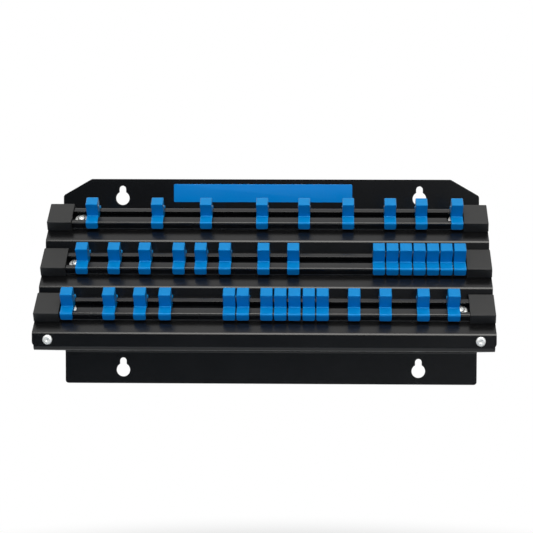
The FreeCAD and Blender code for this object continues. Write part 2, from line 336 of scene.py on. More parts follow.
def rounded_outline(corners: list[Pair], radii: list[float], steps: int = 6,
                    closed: bool = True) -> np.ndarray:
    """Outline through corners, each turned into an arc.

    An arc touches both sides of its corner at radius / tan(half the corner's angle) from it. Its
    points are its centre plus the radius times (cos a, sin a), with a at even steps.

    Args:
        corners: Corner points in order.
        radii: Arc radius at each corner; 0 keeps it sharp.
        steps: Steps along each arc.
        closed: Whether the last corner joins the first.

    Returns:
        Points of the outline, one row each, with repeated points left out.
    """
    point = np.asarray(corners, float)
    radius = np.asarray(radii, float)
    to_last = np.roll(point, 1, axis=0) - point
    to_next = np.roll(point, -1, axis=0) - point
    to_last /= np.linalg.norm(to_last, axis=1, keepdims=True)
    to_next /= np.linalg.norm(to_next, axis=1, keepdims=True)
    half = np.arccos(np.clip((to_last * to_next).sum(axis=1), -1.0, 1.0)) / 2
    half = np.where(radius > 0, half, math.pi / 4)
    middle = to_last + to_next
    middle /= np.maximum(np.linalg.norm(middle, axis=1, keepdims=True), 1e-9)
    centre = point + middle * (radius / np.sin(half))[:, None]
    reach = (radius / np.tan(half))[:, None]
    first = point + to_last * reach - centre
    last = point + to_next * reach - centre
    start = np.arctan2(first[:, 1], first[:, 0])
    turn = (np.arctan2(last[:, 1], last[:, 0]) - start + math.pi) % (2 * math.pi) - math.pi
    angle = start[:, None] + turn[:, None] * np.linspace(0.0, 1.0, steps + 1)
    arcs = centre[:, None, :] + radius[:, None, None] * np.stack([np.cos(angle), np.sin(angle)], axis=-1)
    path = arcs.reshape(-1, 2)
    step = np.linalg.norm(path - np.roll(path, 1, axis=0), axis=1)
    keep = step > 1e-6
    keep[0] = keep[0] or not closed
    return path[keep]


def ring_quads(rings: int, around: int, closed: bool = True) -> np.ndarray:
    """Quads between neighbouring rings of a grid.

    Args:
        rings: Number of rings.
        around: Points in each ring.
        closed: Whether each ring's last point joins its first.

    Returns:
        Four point numbers per quad.
    """
    ring = np.arange(rings - 1)[:, None] * around
    spot = np.arange(around if closed else around - 1)[None, :]
    after = (spot + 1) % around
    quads = np.stack([ring + spot, ring + after, ring + around + after, ring + around + spot], axis=-1)
    return quads.reshape(-1, 4)


def swept(rings: np.ndarray, cap_first: bool = True, cap_last: bool = True) -> Surface:
    """Tube through rings of points, with flat ends.

    Args:
        rings: Array of rings, points and coordinates.
        cap_first: Whether the first ring is filled.
        cap_last: Whether the last ring is filled.

    Returns:
        Points and faces.
    """
    count, around = rings.shape[:2]
    faces = ring_quads(count, around).tolist()
    if cap_first:
        faces.append(list(range(around)))
    if cap_last:
        faces.append(list(range((count - 1) * around, count * around)))
    return rings.reshape(-1, 3), faces


def round_angles(around: int) -> np.ndarray:
    """Angles at even steps round a circle."""
    return np.arange(around) * (2 * math.pi / around)


def hexagon_radius(flats: float, angle: np.ndarray) -> np.ndarray:
    """Radius of a hexagon at each angle: half its flats / cos(angle from the middle of a flat)."""
    return flats / 2 / np.cos((angle + math.pi / 6) % (math.pi / 3) - math.pi / 6)


def turned(radii: np.ndarray, angle: np.ndarray, height: np.ndarray) -> np.ndarray:
    """Rings of points (radius cos angle, radius sin angle, height), one for each row of radii."""
    level = np.broadcast_to(height, radii.shape)
    return np.stack([radii * np.cos(angle), radii * np.sin(angle), level], axis=-1)


@dataclass(frozen=True)
class TreadAxes:
    """Axes (x, t, h) of one tread, in millimetres from the foot of its rail's middle line."""

    row: int
    angle: float = 50.0
    rail_width: float = 19.05

    def to_frame(self, points: np.ndarray) -> np.ndarray:
        """Carry points from the tread's axes to the frame.

        A point becomes the rail's middle plus t times (0, sin, cos) plus h times (0, -cos, sin) of
        the tread's angle from upright.

        Args:
            points: Rows of (x, t, h).

        Returns:
            Rows of (X, Y, Z), in millimetres.
        """
        low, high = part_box(f"rail_{self.row}")
        lean = math.radians(self.angle)
        sine, cosine = math.sin(lean), math.cos(lean)
        y = high.y / MM - self.rail_width / 2 * sine + points[:, 1] * sine - points[:, 2] * cosine
        z = low.z / MM + self.rail_width / 2 * cosine + points[:, 1] * cosine + points[:, 2] * sine
        return np.stack([points[:, 0], y, z], axis=1)


@dataclass
class Piece:
    """One visible piece: surfaces are added to it, then it is finished and hung on its body."""

    name: str
    points: list[np.ndarray] = field(default_factory=list)
    faces: list[list[int]] = field(default_factory=list)

    def add(self, points: np.ndarray, faces: list) -> None:
        """Add a surface.

        Args:
            points: Rows of (X, Y, Z) in millimetres in the frame.
            faces: Lists of point numbers.
        """
        start = sum(len(block) for block in self.points)
        self.points.append(points)
        self.faces.extend([start + number for number in face] for face in faces)

    def finish(self, material: bpy.types.Material, slot: Slot, body: str, nodes: tuple[str, ...] = (),
               wall: float = 0.0, edge: float = 0.0, sharp: float = 35.0) -> bpy.types.Object:
        """Make the mesh, dress it, hang it on its body and hide the CAD nodes that it stands for.

        Args:
            material: Its finish.
            slot: Its material slot in the record; not used.
            body: CAD body that it moves with.
            nodes: CAD nodes that it stands for.
            wall: Wall thickness given to an open surface, behind its faces, in millimetres.
            edge: Rounding of its sharp edges, in millimetres.
            sharp: Angle in degrees above which an edge counts as sharp.

        Returns:
            The new object.
        """
        mesh = bpy.data.meshes.new(self.name)
        mesh.from_pydata((np.vstack(self.points) * MM).tolist(), [], self.faces)
        work = bmesh.new()
        work.from_mesh(mesh)
        bmesh.ops.remove_doubles(work, verts=work.verts, dist=MERGE_MM * MM)
        if not wall:
            bmesh.ops.recalc_face_normals(work, faces=work.faces)
        work.to_mesh(mesh)
        work.free()
        mesh.shade_smooth()
        piece = bpy.data.objects.new(self.name, mesh)
        bpy.context.collection.objects.link(piece)
        mesh.materials.append(material)
        if wall:
            solid = piece.modifiers.new("wall", "SOLIDIFY")
            solid.thickness = wall * MM
            solid.offset = -1.0
            solid.use_even_offset = True
        if edge:
            bevel = piece.modifiers.new("edge", "BEVEL")
            bevel.width = edge * MM
            bevel.segments = 2
            bevel.limit_method = "ANGLE"
            bevel.angle_limit = math.radians(sharp)
            bevel.use_clamp_overlap = True
            weighted = piece.modifiers.new("shading", "WEIGHTED_NORMAL")
            weighted.weight = 80
        else:
            mesh.set_sharp_from_angle(angle=math.radians(sharp))
        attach(piece, body)
        if nodes:
            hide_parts(*nodes)
        LOG.info("%s: %d points on %s", self.name, len(mesh.vertices), body)
        return piece


@dataclass(frozen=True)
class Keyhole:
    """A keyhole in a wall plate: a round bore with a narrower slot above it."""

    x: float
    height: float
    bore: float = 11.6
    slot: float = 5.7
    rise: float = 7.8
    side_room: float = 9.5
    room_below: float = 7.6
    room_above: float = 12.4

    def rim(self, count: int) -> np.ndarray:
        """Points round the opening, from its foot, against the clock.

        The outline is the bore's arc, the slot's side, the half circle on top, the other side and the
        other half of the arc. Points stand at even lengths along it, and the nearest one moves to each
        place where one line meets the next.

        Args:
            count: Number of points.

        Returns:
            Rows of (x, height) from the bore's centre.
        """
        bore, half = self.bore / 2, self.slot / 2
        meet = math.acos(half / bore)
        on_bore, on_top = 400, 200
        lower = np.linspace(-math.pi / 2, meet, on_bore)
        over = np.linspace(0.0, math.pi, on_top)
        right = np.stack([bore * np.cos(lower), bore * np.sin(lower)], axis=1)
        top = np.stack([half * np.cos(over), self.rise + half * np.sin(over)], axis=1)
        left = right[::-1] * (-1.0, 1.0)
        outline = np.vstack([right, top, left])
        length = np.r_[0.0, np.cumsum(np.linalg.norm(np.diff(outline, axis=0), axis=1))]
        places = np.linspace(0.0, length[-1], count + 1)[:-1]
        corners = length[[on_bore - 1, on_bore, on_bore + on_top - 1, on_bore + on_top]]
        places[np.abs(places[:, None] - corners[None, :]).argmin(axis=0)] = corners
        return np.stack([np.interp(places, length, outline[:, i]) for i in (0, 1)], axis=1)


@dataclass
class FoldedSheet:
    """A bent sheet with keyholes, as a grid over its front face.

    The grid runs down the folded outline and across the width. Its outer columns follow the edge
    line, which gives the sheet's half width at each height and so rounds and slants the corners. A
    block of cells round each keyhole is left out and filled with rings that blend from the keyhole's
    rim to the block's edge.
    """

    name: str
    node: str
    corners: list[Pair]
    bend_radii: list[float]
    edge_line: np.ndarray
    keyholes: list[Keyhole]
    plate_first: bool
    thickness: float = 1.6
    rim_round: float = 0.35
    block_steps: int = 14
    row_gap: float = 0.12
    end_gap: float = 0.02

    def levels(self, path: np.ndarray) -> np.ndarray:
        """Heights at which the wall plate gets a row of its own.

        Args:
            path: The folded outline.

        Returns:
            Heights from the top down, each at least the row gap from the next.
        """
        plate = path[:2] if self.plate_first else path[-2:]
        top, foot = plate[0, 1], plate[1, 1]
        must = self.edge_line[:, 1]
        marks = must[(foot < must) & (must < top)].tolist()
        for hole in self.keyholes:
            marks += np.linspace(hole.height - hole.room_below, hole.height + hole.room_above,
                                 self.block_steps + 1).tolist()
        marks = [mark for mark in marks if foot + self.row_gap < mark < top - self.end_gap]
        inner = np.unique(np.round(marks, 4))[::-1]
        gap = np.abs(np.diff(inner, prepend=top))
        near_must = np.abs(inner[:, None] - must[None, :]).min(axis=1) < 1e-3
        return inner[(gap > self.row_gap) | near_must]

    def outline(self) -> tuple[np.ndarray, float]:
        """Folded outline, with a row at every height that the plate or a rounded corner needs.

        Returns:
            Rows of (distance from the wall, height), and the plate's distance from the wall.
        """
        path = rounded_outline(self.corners, self.bend_radii, steps=8, closed=False)
        levels = self.levels(path)
        out = path[0, 0] if self.plate_first else path[-1, 0]
        rows = np.stack([np.full(len(levels), out), levels], axis=1)
        path = np.insert(path, 1 if self.plate_first else len(path) - 1, rows, axis=0)
        if self.plate_first:
            heights = np.sort(self.edge_line[:, 1])[::-1]
            low = heights[(heights < path[-2, 1] - self.end_gap) & (heights > path[-1, 1] + self.end_gap)]
            rows = np.stack([np.full(len(low), path[-1, 0]), low], axis=1)
            path = np.insert(path, len(path) - 1, rows, axis=0)
        return path, out

    def block_edge(self, r: np.ndarray, c: np.ndarray) -> list[tuple[int, int]]:
        """Grid points round a keyhole's block, from the middle of its foot, against the clock.

        Args:
            r: Rows of the block, from the top.
            c: Its columns, from the left.

        Returns:
            Row and column of each point.
        """
        middle = c[len(c) // 2]
        edge = [(r[-1], k) for k in range(middle, c[-1])]
        edge += [(k, c[-1]) for k in r[:0:-1]]
        edge += [(r[0], k) for k in range(c[-1], c[0], -1)]
        edge += [(k, c[0]) for k in r[:-1]]
        return edge + [(r[-1], k) for k in range(c[0], middle)]

    def build(self, material: bpy.types.Material) -> None:
        """Make the sheet.

        Args:
            material: Its finish.
        """
        path, out = self.outline()
        line = self.edge_line[np.argsort(self.edge_line[:, 1], kind="stable")]
        width = np.interp(path[:, 1], line[:, 1], line[:, 0])
        across = np.unique(np.concatenate([
            hole.x + np.linspace(-hole.side_room, hole.side_room, 17) for hole in self.keyholes]))
        share = np.concatenate([[-1.0], across, [1.0]])
        x = np.tile(share, (len(path), 1))
        x[:, 0] = -width
        x[:, -1] = width
        grid = np.stack([x, np.repeat(-path[:, :1], x.shape[1], axis=1),
                         np.repeat(path[:, 1:], x.shape[1], axis=1)], axis=-1)
        number = np.arange(grid.shape[0] * grid.shape[1]).reshape(grid.shape[:2])
        quads = np.stack([number[:-1, :-1], number[1:, :-1], number[1:, 1:], number[:-1, 1:]], axis=-1)
        on_plate = np.abs(path[:, 0] - out) < 1e-6
        open_cells = np.zeros(quads.shape[:2], bool)
        piece = Piece(self.name)
        for hole in self.keyholes:
            top, foot = hole.height + hole.room_above, hole.height - hole.room_below
            r = np.flatnonzero(on_plate & (path[:, 1] < top + 1e-3) & (path[:, 1] > foot - 1e-3))
            c = np.flatnonzero(np.abs(share - hole.x) < hole.side_room + 1e-6)
            open_cells[r[0]:r[-1], c[0]:c[-1]] = True
            edge = self.block_edge(r, c)
            border = grid[tuple(np.array(edge).T)]
            rim = hole.rim(len(edge)) + (hole.x, hole.height)
            inner = np.stack([rim[:, 0], border[:, 1], rim[:, 1]], axis=1)
            rings = inner + (border - inner) * np.array([0.0, 0.14, 0.5, 1.0])[:, None, None]
            flipped = ring_quads(4, len(edge))[:, ::-1]
            piece.add(rings.reshape(-1, 3), flipped.tolist())
        piece.add(grid.reshape(-1, 3), quads[~open_cells].tolist())
        piece.finish(material, Slot.SHEET, FIXED_BODY, (self.node,), wall=self.thickness,
                     edge=self.rim_round, sharp=40.0)


@dataclass(frozen=True)
class Bracket:
    """The two bent sheets: the stepped panel and the lower bracket bolted behind its front flange."""

    half_width: float = 177.8
    plate_top: float = 90.3
    plate_foot: float = -85.5
    sheet: float = 1.6
    plate_drop: float = 28.35
    shelf_depth: float = 48.7
    tread_length: float = 35.0
    tread_angle: float = 50.0
    risers: Triple = (13.0, 11.5, 10.3)
    corner_cut: Pair = (24.3, 14.0)
    corner_round: float = 3.0
    panel_corner: float = 3.5
    lower_inset: float = 0.8
    lower_corner: float = 2.6
    lower_side: float = 22.0
    tab_overlap: float = 8.0
    tab_reach: float = 13.3
    web_fall: float = 14.0
    keyhole_x: float = 127.0
    keyhole_height: float = 73.9

    def step_corners(self) -> list[Pair]:
        """Corners of the panel's front face, as (distance from the wall, height)."""
        lean = math.radians(self.tread_angle)
        out, height = self.sheet, self.plate_top - self.plate_drop
        corners = [(out, self.plate_top), (out, height), (out + self.shelf_depth, height)]
        out += self.shelf_depth
        for riser in self.risers:
            out += self.tread_length * math.sin(lean)
            height -= self.tread_length * math.cos(lean)
            corners += [(out, height), (out, height - riser)]
            height -= riser
        return corners

    def keyholes(self, sign: int) -> list[Keyhole]:
        """The two keyholes of the upper (+1) or lower (-1) plate."""
        return [Keyhole(side * self.keyhole_x, sign * self.keyhole_height) for side in (-1, 1)]

    def build(self, coat: bpy.types.Material) -> None:
        """Make both sheets.

        Args:
            coat: Their powder coat.
        """
        steps = self.step_corners()
        outer, inner = 2 * self.sheet, self.sheet
        cut_x, cut_z = self.corner_cut
        panel_foot = steps[-1][1]
        upper_edge = rounded_outline(
            [(0, self.plate_top), (self.half_width - cut_x, self.plate_top),
             (self.half_width, self.plate_top - cut_z), (self.half_width, panel_foot), (0, panel_foot)],
            [0, self.corner_round, self.corner_round, self.panel_corner, 0], closed=False)[1:-1]
        FoldedSheet("panel_sheet", "stepped_panel", steps,
                    [0, inner, outer, outer, inner, outer, inner, outer, 0],
                    upper_edge, self.keyholes(1), plate_first=True).build(coat)
        front, bend = steps[7]
        front -= self.sheet
        foot = bend - self.tab_reach
        lower = [(front, bend - self.risers[2] + self.tab_overlap), (front, foot),
                 (self.sheet, foot - self.web_fall), (self.sheet, self.plate_foot)]
        half = self.half_width - self.lower_inset
        lower_edge = rounded_outline(
            [(half, self.plate_foot + self.lower_side), (half, self.plate_foot), (0, self.plate_foot)],
            [0, self.lower_corner, 0], closed=False)[:-1]
        FoldedSheet("bracket_sheet", "lower_bracket", lower, [0, outer, inner, 0],
                    lower_edge, self.keyholes(-1), plate_first=False).build(coat)


@dataclass(frozen=True)
class SlottedRail:
    """A rolled channel with a slot between two lips and a low bead along each foot.

    The slot lies a little above the channel's middle, and near both ends the lower lip is cut back so
    that the flange of the rail's screw goes in.
    """

    row: int
    half_length: float = 174.8
    width: float = 19.05
    height: float = 6.8
    wall: float = 1.2
    slot_low: float = -2.4
    slot_high: float = 4.6
    notch_low: float = -5.9
    notch_x: float = 144.8
    notch_lead: float = 0.15
    shoulder: float = 1.5
    bead_out: float = 0.4
    bead_height: float = 0.8

    def profile(self, lip_low: float) -> np.ndarray:
        """Closed outline in (t, h): foot, bead, shoulder, lip and inside above, then the same below.

        Args:
            lip_low: Where the lower lip ends, along t.

        Returns:
            Rows of (t, h).
        """
        edge, inside = self.width / 2, self.width / 2 - self.wall
        under, floor = self.height - self.wall, self.wall
        outside = [(edge + self.bead_out, 0.0), (edge + self.bead_out, self.bead_height * 0.6),
                   (edge, self.bead_height + 0.2), (edge, self.height)]
        within = [(inside, under), (inside, floor)]
        upper = [*outside, (self.slot_high, self.height), (self.slot_high, under), *within]
        lower = [*outside, (-lip_low, self.height), (-lip_low, under), *within]
        radii = [0.1, 0.3, 0.15, self.shoulder, 0.3, 0.3, 0.5, 0.6]
        lower = [(-t, h) for t, h in lower[::-1]]
        return rounded_outline(upper + lower, radii + radii[::-1], steps=5)

    def build(self, enamel: bpy.types.Material) -> None:
        """Make the rail by carrying its outline along X, with the lower lip cut back near both ends.

        Args:
            enamel: Its paint.
        """
        half, cut, lead = self.half_length, self.notch_x, self.notch_lead
        along = np.r_[-cut + lead, np.linspace(-cut, cut, 9)[1:-1], cut - lead]
        stations = np.r_[-half, -cut, along, cut, half]
        notched = np.abs(stations) > cut - lead / 2
        rings = np.empty((len(stations), len(self.profile(self.slot_low)), 3))
        rings[:, :, 0] = stations[:, None]
        rings[:, :, 1:] = np.where(notched[:, None, None], self.profile(self.notch_low)[None],
                                   self.profile(self.slot_low)[None])
        points, faces = swept(rings)
        piece = Piece(f"rail_{self.row}_channel")
        piece.add(TreadAxes(self.row).to_frame(points), faces)
        piece.finish(enamel, Slot.RAIL, FIXED_BODY, (f"rail_{self.row}",), sharp=32.0)


@dataclass(frozen=True)
class EndCap:
    """A moulded cap over a rail's end: an open shell with drafted end and rounded edges."""

    row: int
    side: Side
    inner_x: float = 158.3
    outer_x: float = 178.3
    front: float = 11.4
    back: float = 12.2
    height: float = 8.7
    wall: float = 1.775
    rounding: float = 0.8
    draft: float = 0.5
    foot_cut: float = 2.2

    def rings(self) -> np.ndarray:
        """Arches over the rail from mouth to end.

        Each arch goes up the front wall, over the top and down the back wall to its slanted foot. The
        last ones shrink by r (1 - cos a) as they move out by r sin a, which rounds the end, and the
        end leans back by the draft towards the top.

        Returns:
            Array of arches, points and (x, t, h).
        """
        turn = np.linspace(0.0, math.pi / 2, 6)
        station = np.r_[self.inner_x, self.inner_x + 6.0, self.outer_x - self.rounding * (1 - np.sin(turn))]
        inset = np.r_[0.0, 0.0, self.rounding * (1 - np.cos(turn))]
        arches = []
        for x, shrink in zip(station, inset):
            front, back, top = shrink - self.front, self.back - shrink, self.height - shrink
            soft = max(self.rounding - shrink, 0.05)
            arch = rounded_outline(
                [(front, 0.0), (front, top), (back, top), (back, self.foot_cut), (back - self.foot_cut, 0.0)],
                [0.0, soft, soft, 0.2, 0.0], steps=6, closed=False)
            arches.append(np.column_stack([np.full(len(arch), x), arch]))
        rings = np.array(arches)
        rings[2:, :, 0] -= self.draft * rings[2:, :, 2] / self.height
        return rings

    def build(self, plastic: bpy.types.Material) -> None:
        """Make the cap as one outer skin with a wall behind it.

        Args:
            plastic: Its finish.
        """
        rings = self.rings()
        count, around = rings.shape[:2]
        faces = ring_quads(count, around, closed=False)
        end = np.arange((count - 1) * around, count * around)
        rings[:, :, 0] *= self.side.value
        if self.side is Side.RIGHT:
            faces, end = faces[:, ::-1], end[::-1]
        word = self.side.name.lower()
        piece = Piece(f"cap_{word}_{self.row}_shell")
        piece.add(TreadAxes(self.row).to_frame(rings.reshape(-1, 3)), [*faces.tolist(), end.tolist()])
        piece.finish(plastic, Slot.CAP, FIXED_BODY, (f"end_cap_{word}_{self.row}",), wall=self.wall,
                     edge=0.2, sharp=48.0)


@dataclass(frozen=True)
class Clip:
    """A sliding clip: square post, base over the rail's lips, and a foot in the slot."""

    node: str
    row: int
    half_width: float = 4.73
    base_half: float = 11.375
    base_top: float = 8.3
    base_edge: float = 1.5
    skirt_foot: float = 2.0
    skirt_inside: float = 9.775
    over_rail: float = 7.05
    neck_low: float = -2.15
    neck_high: float = 4.35
    foot_half: float = 8.075
    foot_top: float = 5.35
    foot_under: float = 4.15
    corner_round: float = 1.6
    post_low: float = -2.625
    post_high: float = 6.575
    post_length: float = 12.0
    post_edge: float = 0.5
    tip_round: float = 0.9
    root_cove: float = 0.8
    ball_radius: float = 1.7
    ball_proud: float = 0.42
    ball_from_tip: float = 5.7

    def centre(self) -> float:
        """Middle of the clip along X, in millimetres."""
        low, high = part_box(self.node)
        return (low.x + high.x) / 2 / MM

    def base(self) -> Surface:
        """Base, neck and foot: one outline in (t, h) carried along x.

        The skirts' feet rise near both ends by R - sqrt(R^2 - d^2), where d is how far a place is
        into the last R of the width, so their corners are quarter circles.

        Returns:
            Points and faces in the tread's axes.
        """
        foot = [(self.foot_half, self.foot_under), (self.foot_half, self.foot_top)]
        outside = [(self.skirt_inside, self.over_rail), (self.skirt_inside, self.skirt_foot),
                   (self.base_half, self.skirt_foot), (self.base_half, self.base_top)]
        above = [*foot, (self.neck_high, self.foot_top), (self.neck_high, self.over_rail), *outside]
        below = [*foot, (-self.neck_low, self.foot_top), (-self.neck_low, self.over_rail), *outside]
        radii = [0.0] * 7 + [self.base_edge] * 2 + [0.0] * 7
        loop = rounded_outline(above + [(-t, h) for t, h in below[::-1]], radii, steps=4)
        turn = np.linspace(math.pi / 2, 0.0, 7)
        into = self.corner_round * np.sin(turn)
        end = self.half_width - self.corner_round + into
        x = np.r_[-end, end[::-1]]
        depth = np.r_[into, into[::-1]]
        rise = self.corner_round - np.sqrt(np.maximum(self.corner_round ** 2 - depth ** 2, 0.0))
        rings = np.empty((len(x), len(loop), 3))
        rings[:, :, 0] = x[:, None]
        rings[:, :, 1] = loop[None, :, 0]
        skirt = np.abs(loop[:, 0]) > self.skirt_inside - 0.01
        low = np.maximum(loop[None, :, 1], self.skirt_foot + rise[:, None])
        rings[:, :, 2] = np.where(skirt[None, :], low, loop[None, :, 1])
        return swept(rings)

    def post(self) -> Surface:
        """Post: rounded squares stacked along h.

        Near the root they widen along t by c - sqrt(c^2 - (c - height)^2), a cove of radius c, and
        near the tip they shrink by r (1 - cos a) as they climb by r sin a.

        Returns:
            Points and faces in the tread's axes.
        """
        climb = self.root_cove * (1 - np.cos(np.linspace(0.0, math.pi / 2, 5)))
        cove = self.root_cove - np.sqrt(self.root_cove ** 2 - (self.root_cove - climb) ** 2)
        turn = np.linspace(0.0, math.pi / 2, 6)
        tip = self.base_top + self.post_length
        height = np.r_[self.base_top - 0.3, self.base_top + climb, tip - self.tip_round * (1 - np.sin(turn))]
        wider = np.r_[cove[0], cove, np.zeros(len(turn))]
        inset = np.r_[0.0, np.zeros(len(climb)), self.tip_round * (1 - np.cos(turn))]
        rings = []
        for h, out, shrink in zip(height, wider, inset):
            half, soft = self.half_width - shrink, max(self.post_edge - shrink * 0.6, 0.05)
            low, high = self.post_low - out + shrink, self.post_high + out - shrink
            square = rounded_outline([(-half, low), (half, low), (half, high), (-half, high)],
                                     [soft] * 4, steps=4)
            rings.append(np.column_stack([square, np.full(len(square), h)]))
        return swept(np.array(rings))

    def ball(self, side: Side) -> Surface:
        """Ball in one side of the post: a sphere on a grid of latitude and longitude.

        Args:
            side: Side of the post.

        Returns:
            Points and faces in the tread's axes.
        """
        bands, around_ball = 12, 24
        latitude = np.linspace(0.0, math.pi, bands + 1)[1:-1]
        longitude = round_angles(around_ball)
        around = np.sin(latitude)[:, None]
        centre = self.half_width + self.ball_proud - self.ball_radius
        middle_t = (self.post_low + self.post_high) / 2
        middle_h = self.base_top + self.post_length - self.ball_from_tip
        x = side.value * centre + self.ball_radius * np.cos(latitude)[:, None] * np.ones(around_ball)
        t = middle_t + self.ball_radius * around * np.cos(longitude)
        h = middle_h + self.ball_radius * around * np.sin(longitude)
        return swept(np.stack([x, t, h], axis=-1))

    def build(self, plastic: bpy.types.Material, steel: bpy.types.Material) -> None:
        """Make the moulding and its two balls, on the clip's own body.

        Args:
            plastic: Finish of the moulding.
            steel: Finish of the balls.
        """
        axes, place = TreadAxes(self.row), np.array([self.centre(), 0.0, 0.0])
        moulding = Piece(f"{self.node}_moulding")
        for points, faces in (self.base(), self.post()):
            moulding.add(axes.to_frame(points + place), faces)
        moulding.finish(plastic, Slot.CLIP, self.node, (self.node,), edge=0.28)
        balls = Piece(f"{self.node}_balls")
        for side in Side:
            points, faces = self.ball(side)
            balls.add(axes.to_frame(points + place), faces)
        balls.finish(steel, Slot.ZINC, self.node)


@dataclass(frozen=True)
class Screw:
    """A button-head screw with a hexagon socket and a rolled thread, with or without a flange."""

    head: float
    head_height: float
    shank: float
    length: float
    flange: float = 0.0
    flange_height: float = 0.0
    fullness: float = 2.6
    socket: float = 2.5
    socket_depth: float = 1.3
    pitch: float = 0.7
    thread_depth: float = 0.3
    rim_lift: float = 0.12
    flange_round: float = 0.14
    around: int = 36

    def surface(self) -> Surface:
        """Rings from the shank's tip to the socket's floor.

        Along the shank the radius is the core plus the thread's depth times a triangle wave of
        height / pitch minus angle / full turn, which winds the ridge. The dome's height is the head's
        times (1 - s^n)^(1/n), with s the share of the head's radius and n its fullness: 2 gives an
        ellipse, and more a flatter top. From the socket's rim on, a ring is a hexagon.

        Returns:
            Points and faces, standing on h = 0 with the shank below.
        """
        angle = round_angles(self.around)
        hexagon = hexagon_radius(self.socket, angle)
        ones = np.ones(self.around)
        down = np.arange(-self.length + 0.5, -0.3, self.pitch / 8)
        phase = (down[:, None] / self.pitch - angle[None, :] / (2 * math.pi)) % 1.0
        ridge = 1.0 - np.abs(2 * phase - 1.0)
        thread = self.shank / 2 - self.thread_depth * ridge
        core = self.shank / 2 - self.thread_depth
        rim = self.socket / 2 / math.cos(math.pi / 6) + 0.2
        turn = np.linspace(0.0, math.pi / 2, 10)[:-1]
        rounds = rim + (self.head / 2 - rim) * np.cos(turn)
        share = np.clip(2 * rounds / self.head, 0.0, 1.0)
        dome = self.head_height * (1 - share ** self.fullness) ** (1 / self.fullness)
        dome[0] = self.rim_lift
        dome += self.flange_height
        mouth = float(dome[-1])
        floor = self.flange_height + self.head_height - self.socket_depth
        seat = max(self.head, self.flange) / 2
        soft, chord, top = self.flange_round, 0.04, self.flange_height
        disc = np.array([(seat, self.rim_lift), (seat, top - soft), (seat - chord, top - chord),
                         (seat - soft, top), (self.head / 2, top)])
        disc = disc if self.flange else disc[:0]
        radii = np.vstack([
            0.05 * ones, (core - 0.3) * ones, thread, (self.shank / 2) * ones, (seat - 0.25) * ones,
            (seat - 0.08) * ones, disc[:, :1] * ones, rounds[:, None] * ones, hexagon + 0.05, hexagon,
            hexagon, 0.6 * hexagon, 0.05 * ones])
        height = np.r_[-self.length, -self.length, down, 0.0, 0.0, 0.04, disc[:, 1], dome, mouth - 0.03,
                       mouth - 0.15, floor, floor - 0.25, floor - 0.3]
        return swept(turned(radii, angle, height[:, None]))


@dataclass(frozen=True)
class Nut:
    """A hexagon nut with both faces chamfered and its bore eased."""

    flats: float = 7.0
    height: float = 3.2
    bore: float = 4.1
    around: int = 48

    def surface(self) -> Surface:
        """Rings round the nut's section, from the bore over one face, the flats and the other face.

        The chamfer is a cone: it falls by tan 30 times how far the hexagon stands outside the washer
        face.

        Returns:
            Points and faces with the nut's top at h = 0 and the rest below.
        """
        angle = round_angles(self.around)
        hexagon = hexagon_radius(self.flats, angle)
        ones = np.ones(self.around)
        face = 0.96 * self.flats / 2
        fall = (hexagon - face) * math.tan(math.pi / 6)
        bore, eased = self.bore / 2, self.bore / 2 + 0.3
        radii = np.vstack([bore * ones, eased * ones, face * ones, hexagon, hexagon, face * ones,
                           eased * ones, bore * ones])
        height = np.vstack([-0.3 * ones, 0 * ones, 0 * ones, -fall, fall - self.height,
                            -self.height * ones, -self.height * ones, (0.3 - self.height) * ones])
        rings = turned(radii, angle, height)
        rings = np.concatenate([rings, rings[:1]])
        return swept(rings, cap_first=False, cap_last=False)


@dataclass(frozen=True)
class Fasteners:
    """All screws, bolts and nuts: two through each rail and two through the front flange."""

    rail_x: float = 151.8
    rail_t: float = 1.1
    rail_web: float = 1.2
    sheet: float = 1.6
    front_x: float = 165.7
    front_height: float = -35.24
    front_y: float = -130.73

    def stood_out(self, points: np.ndarray, side: int) -> np.ndarray:
        """Turn points that stand along h to stand along -Y on the front flange.

        Args:
            points: Rows of (x, t, h).
            side: -1 for the left bolt and 1 for the right one.

        Returns:
            Rows of (X, Y, Z) in millimetres.
        """
        return np.stack([points[:, 0] + side * self.front_x, self.front_y - points[:, 2],
                         self.front_height + points[:, 1]], axis=1)

    def build(self, zinc: bpy.types.Material) -> None:
        """Make the four sets.

        Args:
            zinc: Their plating.
        """
        rail_screw = Screw(head=6.2, head_height=1.9, shank=3.5, length=8.0, flange=10.6, flange_height=0.8,
                           pitch=0.6).surface()
        front_bolt = Screw(head=7.6, head_height=2.2, shank=4.0, length=9.0, socket=3.0).surface()
        rail_nut, front_nut = Nut(bore=3.6).surface(), Nut(bore=4.1).surface()
        screws, nuts = Piece("rail_screw_set"), Piece("rail_nut_set")
        for row in (1, 2, 3):
            axes = TreadAxes(row)
            for side in (-1, 1):
                seat = np.array([side * self.rail_x, self.rail_t, self.rail_web])
                screws.add(axes.to_frame(rail_screw[0] + seat), rail_screw[1])
                seat = np.array([side * self.rail_x, self.rail_t, -self.sheet])
                nuts.add(axes.to_frame(rail_nut[0] + seat), rail_nut[1])
        screws.finish(zinc, Slot.ZINC, FIXED_BODY, ("rail_screws",))
        nuts.finish(zinc, Slot.ZINC, FIXED_BODY, ("rail_nuts",))
        bolts, holders = Piece("front_bolt_set"), Piece("front_nut_set")
        for side in (-1, 1):
            bolts.add(self.stood_out(front_bolt[0], side), front_bolt[1])
            behind = front_nut[0] - (0.0, 0.0, 2 * self.sheet)
            holders.add(self.stood_out(behind, side), front_nut[1])
        bolts.finish(zinc, Slot.ZINC, FIXED_BODY, ("front_bolts",))
        holders.finish(zinc, Slot.ZINC, FIXED_BODY, ("front_nuts",))


